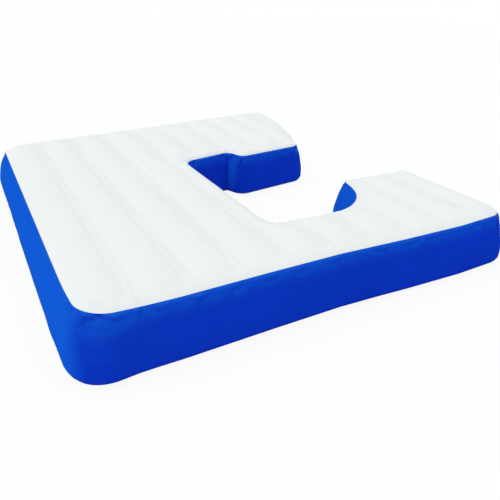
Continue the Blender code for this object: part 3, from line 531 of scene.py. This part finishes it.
# 0 beside the valve and the rings' patches, 1 elsewhere
def calmWalls():
    calm = np.ones(len(seamPoints))
    for name in ("valve_base", "ring_patch_near_end", "ring_patch_pocket",
                 "ring_patch_back_left", "ring_patch_back_right"):
        low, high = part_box(name)
        middle = (np.array(low[:2]) + np.array(high[:2])) / 2 - shift
        away = np.hypot(*(seamPoints - middle).T)
        calm *= ramp(away, folds["calmReach"], folds["calmFade"])
    return calm


# where the skin's rim runs round a tight corner its points bunch up, and it lies flat
def rimOpenness():
    rim = seamPoints + seamNormals * shoulderIn
    rimSteps = np.hypot(*(np.roll(rim, -1, axis=0) - rim).T)
    openness = np.clip(rimSteps / seamSteps, 0, 1)
    for _ in range(folds["rimEvenings"]):
        openness = (np.roll(openness, 1) + 2 * openness + np.roll(openness, -1)) / 4
    return openness


calm = calmWalls()
openRim = rimOpenness()
facesAlong = np.abs(seamNormals[:, 1]) > 0.7    # along the walls that the welds run up to
stripGather = np.where(facesAlong, bell(fromStrip(seamPoints[:, 0]), folds["gatherStripReach"]), 0)
gather = (folds["gatherEven"] + folds["gatherGated"] * puckerGate
          + folds["gatherCorners"] * seamBend() + folds["gatherStrips"] * stripGather)


def wallSurface():
    section, marks = evenSection(edge["seamAngle"], -edge["seamAngle"], meshing["wallRows"])
    crease = folds["creaseDrop"] * (1 + folds["creaseSway"] * creaseWave)
    even, gathered = folds["creaseShares"]
    footWave = np.roll(puckerWave, folds["footPuckerRoll"])
    grid = np.zeros((len(section), len(seamPoints), 3))
    for row, (out, up), down in zip(grid, section, marks):
        fromFoot = marks[-1] - down
        offset = -(folds["creaseDepth"] * bell(down - crease, folds["creaseWidth"])
                   * (even + gathered * gather))
        puckerFade = bell(down - folds["wallPuckerAt"], folds["wallPuckerWidth"])
        offset += (folds["wallPucker"] * puckerWave * gather * puckerFade
                   * min(1, down / folds["edgeRise"]))
        footFade = bell(fromFoot - folds["footPuckerAt"], folds["wallPuckerWidth"])
        offset += (folds["footPucker"] * footWave * footFade
                   * min(1, fromFoot / folds["edgeRise"]))
        offset += folds["swell"] * swellWave * math.sin(math.pi * down / marks[-1]) ** 2
        row[:, 0:2] = seamPoints + seamNormals * (out + offset * calm)[:, None]
        row[:, 2] = up
    return settle(grid.reshape(-1, 3)).reshape(grid.shape)


# the distance to the ring and the index of its nearest point, for each point
def nearestOn(ring, points, chunk=400):
    found, index = np.empty(len(points)), np.empty(len(points), int)
    for k in range(0, len(points), chunk):
        gaps = ((points[k:k + chunk][:, None] - ring[None]) ** 2).sum(axis=2)
        index[k:k + chunk] = gaps.argmin(axis=1)
        found[k:k + chunk] = np.sqrt(gaps.min(axis=1))
    return found, index


# whether each point lies inside the ring, by counting the sides above it
def inRing(ring, points):
    x, y = points[:, 0], points[:, 1]
    hit = np.zeros(len(points), bool)
    for (ax, ay), (bx, by) in zip(ring, np.roll(ring, -1, axis=0)):
        if ax != bx:
            hit ^= ((ax < x) != (bx < x)) & (y < ay + (by - ay) * (x - ax) / (bx - ax))
    return hit


# x of each mesh line: at these offsets from the welds, and evenly between them
def chamberLines(offsets, spacing):
    marks = sorted({round(strip + o, 6) for strip in strips.tolist() for o in offsets}
                   | {0.0, plan["frontLength"]})
    lines = []
    for a, b in zip(marks, marks[1:]):
        count = max(1, round((b - a) / spacing))
        lines += [a + (b - a) * k / count for k in range(count)]
    return [x for x in lines if 0 < x < plan["frontLength"]]


# triangles over the inside of a ring, on rows across the chambers, none nearer to it than clear
def fillPlan(ring, lines, along, clear):
    low, high = ring.min(axis=0), ring.max(axis=0)
    rows = np.arange(low[1] + along / 2, high[1], along)
    grid = np.array([(x, y) for x in lines for y in rows])
    grid = grid[inRing(ring, grid)]
    grid = grid[nearestOn(ring, grid)[0] > clear]
    # four far corners keep the ring off the hull, where points in line make slivers
    corners = [(x, y) for x in (low[0] - 1, high[0] + 1) for y in (low[1] - 1, high[1] + 1)]
    sides = [(k, (k + 1) % len(ring)) for k in range(len(ring))]
    made = geometry.delaunay_2d_cdt([Vector(p) for p in (*ring, *grid, *corners)], sides, [], 0,
                                    meshing["mergeWithin"], True)
    flat = np.array([tuple(v) for v in made[0]])
    faces = np.array([tuple(f) for f in made[2]])
    inside = inRing(ring, flat[faces].mean(axis=1))
    return flat[:-4], faces[inside], made[3][:-4]


def newPiece(name, points, faces, material):
    mesh = bpy.data.meshes.new(name)
    mesh.from_pydata([tuple(p) for p in points], [], [tuple(f) for f in faces])
    mesh.materials.append(material)
    mesh.shade_smooth()
    made = bpy.data.objects.new(name, mesh)
    bpy.context.scene.collection.objects.link(made)
    return made


def fitPiece(piece, node):
    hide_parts(node)
    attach(piece, "pad")


# a skin from rings of plan points with their heights, seam first, closed over by a fill inside
# the last one. It gives the piece and its points on the plan.
def closedSkin(name, rings, fill, heightInside, material, facesUp):
    count = len(seamPoints)
    base = count * (len(rings) - 1)
    flat, triangles, origins = fill
    heights = heightInside(flat)
    places = {original: k for k, known in enumerate(origins)
              for original in known if original < count}
    rim = [places[k] for k in range(count)]
    heights[rim] = rings[-1][1]
    points = [(x, y, z) for ring, up in rings[:-1] for (x, y), z in zip(ring, up)]
    points += [(x, y, z) for (x, y), z in zip(flat, heights)]
    numbers = [[r * count + k for k in range(count)] for r in range(len(rings) - 1)]
    numbers.append([base + k for k in rim])
    faces = [(a[k - 1], a[k], b[k], b[k - 1])
             for a, b in zip(numbers, numbers[1:]) for k in (*range(1, count), 0)]
    faces += [tuple(base + v for v in f) for f in triangles]
    if not facesUp:
        faces = [(f[0], *f[:0:-1]) for f in faces]
    return newPiece(name, settle(points), faces, material), np.array(points)[:, :2]


topForm = {
    "crownRise": 0.0205,
    "crownFade": 0.150,
    "stripHalf": 0.030,
    "weldLift": 0.0030,            # keeps the skin over the baffles' welded flanges
    "weldLiftReach": 0.050,
    "ridgeRise": 0.0065,
    "ridgeHalf": 0.024,
    "grooveDepth": 0.0018,
    "grooveHalf": 0.014,
    "stripEnd": 0.062,             # from the seam to where the weld ends
    "stripEndFade": 0.035,
}


# the white skin's roll from the seam up to the flat
def shoulderRings():
    section, marks = evenSection(edge["seamAngle"], math.pi / 2, meshing["shoulderRows"])
    rings = []
    for (out, up), rise in zip(section, marks):
        pucker = (folds["topPucker"] * puckerWave * gather
                  * min(1, rise / folds["topPuckerRise"]) * openRim)
        rings.append((seamPoints + seamNormals * out, np.full(len(seamPoints), up) + pucker))
    return rings


# crowned chambers between welds that are a ridge with a groove to each side, puckered at the rim
def topHeight(points):
    distance, index = nearestOn(seamPoints, points)
    inside = np.clip(distance + shoulderIn, 0, None)     # from the top of the shoulder
    away = fromStrip(points[:, 0])
    halfChamber = plan["chamberPitch"] / 2 - topForm["stripHalf"]
    crown = eased((away - topForm["stripHalf"]) / halfChamber)
    height = (topForm["crownRise"] * crown * eased(inside / topForm["crownFade"])
              + topForm["weldLift"] * smooth(inside / topForm["weldLiftReach"]))
    welded = ramp(distance, topForm["stripEnd"], topForm["stripEndFade"])
    ridge = np.cos(math.pi / 2 * np.clip(away / topForm["ridgeHalf"], 0, 1)) ** 2
    groove = bell(away - topForm["stripHalf"], topForm["grooveHalf"])
    height += welded * (topForm["ridgeRise"] * ridge - topForm["grooveDepth"] * groove)

    wave = (puckerWave * gather * openRim)[index]
    height += folds["topPucker"] * wave * np.exp(-(inside / folds["topPuckerReach"]))
    nearest = strips[np.abs(points[:, 0][:, None] - strips[None]).argmin(axis=1)]
    side = np.sign(points[:, 0] - nearest)
    along, across = folds["stripEndReach"]
    even, leaning = folds["stripEndShares"]
    fan = bell(distance - topForm["stripEnd"], along) * bell(away, across)
    height -= folds["stripEndPucker"] * fan * facesAlong[index] * (even + leaning * side)
    return edge["stripHeight"] + height


inflation = {
    "frames": 20,
    "pressure": 4.0,
    "surplus": 0.006,              # share of extra cloth that the welds gather
    "mass": 0.30,
    "stretch": 60.0,
    "shear": 20.0,
    "bend": 0.6,
    "quality": 6,
    "cap": 0.012,                  # furthest a point may move
    "evenings": 5,                 # rounds of evening out, against single-point spikes
    "weldHold": 0.020,             # half the width that a weld holds
    "weldFade": 0.016,
    "weldStart": 0.047,            # from the seam, and over what length the hold comes in
    "weldLength": 0.120,
}


# 1 on the seam and along the welds, 0 on the free chambers, in tenths between them
def heldShares(plain):
    distance, _ = nearestOn(seamPoints, plain)
    away = fromStrip(plain[:, 0])
    held = ramp(distance, inflation["weldStart"], inflation["weldLength"])
    held *= smooth((inflation["weldHold"] + inflation["weldFade"] - away) / inflation["weldFade"])
    held[:len(seamPoints)] = 1
    return np.round(held, 1)


# runs the piece as cloth under pressure, held where told, and keeps the shape it takes
def blowUp(piece, held):
    p = inflation
    group = piece.vertex_groups.new(name="held")
    for weight in sorted(set(held.tolist())):
        if weight > 0:
            group.add(np.flatnonzero(held == weight).tolist(), weight, "REPLACE")
    modifier = piece.modifiers.new("blownUp", "CLOTH")
    cloth = modifier.settings
    cloth.quality = p["quality"]
    cloth.mass = p["mass"]
    cloth.tension_stiffness = cloth.compression_stiffness = p["stretch"]
    cloth.shear_stiffness = p["shear"]
    cloth.bending_stiffness = p["bend"]
    cloth.shrink_min = -p["surplus"]
    cloth.use_pressure = True
    cloth.uniform_pressure_force = p["pressure"]
    cloth.vertex_group_mass = "held"
    cloth.effector_weights.gravity = 0
    modifier.collision_settings.use_collision = False
    modifier.point_cache.frame_end = p["frames"]
    scene = bpy.context.scene
    before = np.array([v.co[:] for v in piece.data.vertices])
    for moment in range(1, p["frames"] + 1):
        scene.frame_set(moment)
    evaluated = piece.evaluated_get(bpy.context.evaluated_depsgraph_get())
    moved = np.array([v.co[:] for v in evaluated.data.vertices]) - before
    ends = np.array([e.vertices[:] for e in piece.data.edges])
    for _ in range(p["evenings"]):
        total, count = np.zeros_like(moved), np.zeros(len(moved))
        for a, b in (ends.T, ends.T[::-1]):
            np.add.at(total, a, moved[b])
            np.add.at(count, a, 1)
        evened = (moved + total / np.maximum(count, 1)[:, None]) / 2
        moved = np.where((held < 1)[:, None], evened, moved)
    lengths = np.linalg.norm(moved, axis=1)
    share = np.minimum(1, p["cap"] / np.maximum(lengths, 1e-9))
    piece.modifiers.remove(modifier)
    piece.vertex_groups.clear()
    scene.frame_set(1)
    for vertex, place in zip(piece.data.vertices, before + moved * share[:, None]):
        vertex.co = place
    piece.data.update()
    print("blown up:", piece.name, "moved up to", round(float(lengths.max()), 4),
          "mean", round(float(lengths.mean()), 4))


def buildTop():
    rings = shoulderRings()
    lines = chamberLines(meshing["topLines"], meshing["topAcross"])
    fill = fillPlan(rings[-1][0], lines, meshing["topAlong"], meshing["topClear"])
    skin, plain = closedSkin("topSkin", rings, fill, topHeight, whitePvc, facesUp=True)
    blowUp(skin, heldShares(plain))
    fitPiece(skin, "top_skin")
    print("top skin built:", len(skin.data.polygons), "faces")


valveOpening = {
    "neck": 0.031,           # just clear of the valve's neck
    "rim": 0.036,            # where the opening's edge is drawn to, under the flange
    "flat": 0.060,           # the wall is flat this far round it
}


# drops the faces at the valve's neck and draws the edge that is left to a round one
def openForValve(points, faces):
    low, high = (np.array(corner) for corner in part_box("valve_base"))
    across = points[:, 1:] - ((low + high) / 2)[1:]
    gaps = np.linalg.norm(across, axis=1)
    near = gaps < valveOpening["flat"]
    plane = np.column_stack([np.ones(near.sum()), points[near, 1:]])
    fit = np.linalg.lstsq(plane, points[near, 0], rcond=None)[0]
    inside = gaps < valveOpening["neck"]
    cut = [f for f in faces if inside[list(f)].any()]
    for v in {v for f in cut for v in f if not inside[v]}:
        points[v, 1:] += across[v] * (valveOpening["rim"] / gaps[v] - 1)
        points[v, 0] = fit @ (1, *points[v, 1:])
    print("wall opened for the valve:", len(cut), "faces out")
    left = [f for f in faces if not inside[list(f)].any()]
    used = sorted({v for f in left for v in f})
    order = {v: k for k, v in enumerate(used)}
    return points[used], [tuple(order[v] for v in f) for f in left]


def buildWalls():
    grid = wallSurface()
    rows, count = grid.shape[:2]
    for node in dict.fromkeys(seamWalls):
        members = [k for k in range(count) if seamWalls[k] == node]
        if node == "left_wall":    # this wall runs over the start of the walk
            cut = next(i for i in range(len(members)) if members[i] != i)
            members = members[cut:] + members[:cut]
        members.append((members[-1] + 1) % count)
        points = grid[:, members].reshape(-1, 3)
        width = len(members)
        corners = [r * width + k for r in range(rows - 1) for k in range(width - 1)]
        faces = [(a + width, a + width + 1, a + 1, a) for a in corners]
        if node == "near_end_wall":
            points, faces = openForValve(points, faces)
        first, *others = node.split("_")
        wall = newPiece(first + "".join(map(str.title, others)), points, faces, bluePvc)
        fitPiece(wall, node)
    print("walls built")


bottomForm = {
    "grooveRise": 0.012,           # how far the welds lift the skin off the ground
    "grooveFade": 0.035,
    "rimStart": 0.030,
    "rimFade": 0.050,
}


def bottomHeight(points):
    distance, _ = nearestOn(seamPoints, points)
    away = fromStrip(points[:, 0])
    groove = smooth(1 - np.clip((away - topForm["stripHalf"]) / bottomForm["grooveFade"], 0, 1))
    fade = np.clip((distance + footIn - bottomForm["rimStart"]) / bottomForm["rimFade"], 0, 1)
    return bottomForm["grooveRise"] * groove * fade


def buildBottom():
    section, _ = evenSection(-edge["seamAngle"], -math.pi / 2, meshing["footRows"])
    rings = [(seamPoints + seamNormals * out, np.full(len(seamPoints), up)) for out, up in section]
    lines = chamberLines(meshing["bottomLines"], meshing["bottomAcross"])
    fill = fillPlan(rings[-1][0], lines, meshing["bottomAlong"], meshing["bottomClear"])
    skin, _ = closedSkin("bottomSkin", rings, fill, bottomHeight, greyPvc, facesUp=False)
    fitPiece(skin, "bottom_skin")
    print("bottom skin built")


buildTop()
buildWalls()
buildBottom()


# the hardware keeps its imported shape

# stainless wire, drawn and polished: bright metal with sharp glints
ringWire = {"colour": "#c9c8c4", "roughness": 0.20, "metallic": 1.0,
            "grain": 0.0040, "depth": 0.00001}

# polyester webbing, woven: near black and dull, with a fine rib
ringWebbing = {"colour": "#1b1c1f", "roughness": 0.80, "metallic": 0.0,
               "grain": 0.0016, "depth": 0.00030}

# nylon, injection moulded: even dark grey with a soft satin shine
valveNylon = {"colour": "#3b3e42", "roughness": 0.42, "metallic": 0.0,
              "grain": 0.0040, "depth": 0.00005}

# rubber, compression moulded: flat black that hardly shines
flapRubber = {"colour": "#141414", "roughness": 0.75, "metallic": 0.0,
              "grain": 0.0040, "depth": 0.00005}


def plainFinish(name, finish):
    material, tree, shader = newMaterial(name)
    place = addNode(tree, "ShaderNodeTexCoord")
    speckle = addNode(tree, "ShaderNodeTexNoise", links={"Vector": place.outputs["Object"]},
                      values={"Scale": 1 / finish["grain"], "Detail": 3.0})
    bump = addNode(tree, "ShaderNodeBump", links={"Height": speckle.outputs["Fac"]},
                   values={"Strength": 1.0, "Distance": finish["depth"]})
    tree.links.new(bump.outputs["Normal"], shader.inputs["Normal"])
    shader.inputs["Base Color"].default_value = linear(finish["colour"])
    shader.inputs["Roughness"].default_value = finish["roughness"]
    shader.inputs["Metallic"].default_value = finish["metallic"]
    return material


def dress(prefix, material):
    for name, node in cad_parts.items():
        if name.startswith(prefix):
            node.data.materials.clear()
            node.data.materials.append(material)


dress("d_ring", plainFinish("polishedStainlessWire", ringWire))
dress("ring_strap", plainFinish("wovenPolyesterWebbing", ringWebbing))
dress("ring_patch", bluePvc)
dress("valve_", plainFinish("mouldedNylonGrey", valveNylon))
dress("valve_flap", plainFinish("mouldedRubberBlack", flapRubber))
dress("baffle", baffleScrim)
print("hardware and baffles dressed")


stageLook = {
    "floorColour": "#f4f5f5",
    "floorRoughness": 0.9,
    "floorHalf": 30.0,
    "floorDrop": 0.0005,
    "floorGlow": 0.90,
    "skyColour": (0.96, 0.985, 1.0, 1),
    "skyStrength": 0.90,
    "keyStrength": 0.60,
    "keySpread": 25,               # degrees, as the next two
    "keyElevation": 58,
    "keyAzimuth": -55,             # from +Y, negative is to the left
}

white = (1, 1, 1, 1)


# painted board, matt and pale: it keeps the shadow, and looks white to the camera and in metal
def makeFloor(look):
    mesh = bpy.data.meshes.new("studioFloor")
    half = look["floorHalf"]
    mesh.from_pydata([(-half, -half, 0), (half, -half, 0), (half, half, 0), (-half, half, 0)],
                     [], [(0, 1, 2, 3)])
    floor = bpy.data.objects.new("studioFloor", mesh)
    floor.location.z = -look["floorDrop"]
    bpy.context.scene.collection.objects.link(floor)
    material, tree, shader = newMaterial("paleStudioFloor")
    shader.inputs["Base Color"].default_value = linear(look["floorColour"])
    shader.inputs["Roughness"].default_value = look["floorRoughness"]
    shader.inputs["Specular IOR Level"].default_value = 0.0
    glow = addNode(tree, "ShaderNodeEmission", values={"Color": white, "Strength": 1.0})
    path = addNode(tree, "ShaderNodeLightPath")
    seen = addNode(tree, "ShaderNodeMath", {"operation": "MAXIMUM"},
                   links={0: path.outputs["Is Camera Ray"], 1: path.outputs["Is Glossy Ray"]})
    share = addNode(tree, "ShaderNodeMath", {"operation": "MULTIPLY"},
                    links={0: seen.outputs[0]}, values={1: look["floorGlow"]})
    blend = addNode(tree, "ShaderNodeMixShader",
                    links={0: share.outputs[0], 1: shader.outputs[0], 2: glow.outputs[0]})
    tree.links.new(blend.outputs[0], tree.nodes["Material Output"].inputs["Surface"])
    mesh.materials.append(material)


def makeWorld(look):
    world = bpy.data.worlds.new("whiteStudio")
    bpy.context.scene.world = world
    world.use_nodes = True
    tree = world.node_tree
    lighting = tree.nodes["Background"]
    lighting.inputs["Color"].default_value = look["skyColour"]
    lighting.inputs["Strength"].default_value = look["skyStrength"]
    backdrop = addNode(tree, "ShaderNodeBackground", values={"Color": white, "Strength": 1.0})
    path = addNode(tree, "ShaderNodeLightPath")
    blend = addNode(tree, "ShaderNodeMixShader",
                    links={0: path.outputs["Is Camera Ray"], 1: lighting.outputs[0],
                           2: backdrop.outputs[0]})
    tree.links.new(blend.outputs[0], tree.nodes["World Output"].inputs["Surface"])


def makeKey(look):
    data = bpy.data.lights.new("softKey", "SUN")
    data.energy = look["keyStrength"]
    data.angle = math.radians(look["keySpread"])
    key = bpy.data.objects.new("softKey", data)
    azimuth, elevation = math.radians(look["keyAzimuth"]), math.radians(look["keyElevation"])
    towards = Vector((math.sin(azimuth) * math.cos(elevation),
                      math.cos(azimuth) * math.cos(elevation), math.sin(elevation)))
    key.rotation_euler = towards.to_track_quat("Z", "Y").to_euler()
    bpy.context.scene.collection.objects.link(key)


makeFloor(stageLook)
makeWorld(stageLook)
makeKey(stageLook)
bpy.context.scene.view_settings.view_transform = "Standard"
print("stage built")
